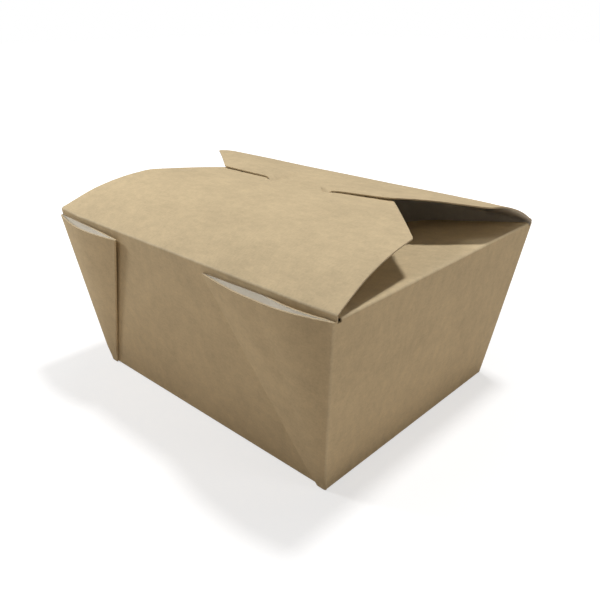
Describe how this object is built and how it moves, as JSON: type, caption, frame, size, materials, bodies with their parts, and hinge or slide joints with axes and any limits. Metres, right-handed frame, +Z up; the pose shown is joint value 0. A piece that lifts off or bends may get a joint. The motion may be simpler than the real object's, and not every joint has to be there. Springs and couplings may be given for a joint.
{
  "type": "takeaway box",
  "caption": "Folded kraft paperboard food box with tapered walls, folded corner webs and two arched lid flaps that lock together.",
  "frame": {"origin": "centre of the underside of the base, on the surface that the box stands on", "axes": "+Z up, +X along the long side, -Y towards the front wall"},
  "size_m": [0.13, 0.1132, 0.0737],
  "materials": {
    "kraft_board": "matte"
  },
  "bodies": {
    "tray": {"tray": "kraft_board"},
    "front_flap": {"front_flap": "kraft_board"},
    "rear_flap": {"rear_flap": "kraft_board"}
  },
  "joints": [
    {"name": "front_flap_crease", "type": "hinge", "parent": "tray", "child": "front_flap", "pos_m": [0, -0.05187, 0.061], "axis": [1, 0, 0], "range_deg": [0, 150]},
    {"name": "rear_flap_crease", "type": "hinge", "parent": "tray", "child": "rear_flap", "pos_m": [0, 0.05187, 0.061], "axis": [-1, 0, 0], "range_deg": [0, 150]}
  ],
  "couplings": [
    {"joint": "rear_flap_crease", "follows": "front_flap_crease", "ratio": 1}
  ]
}
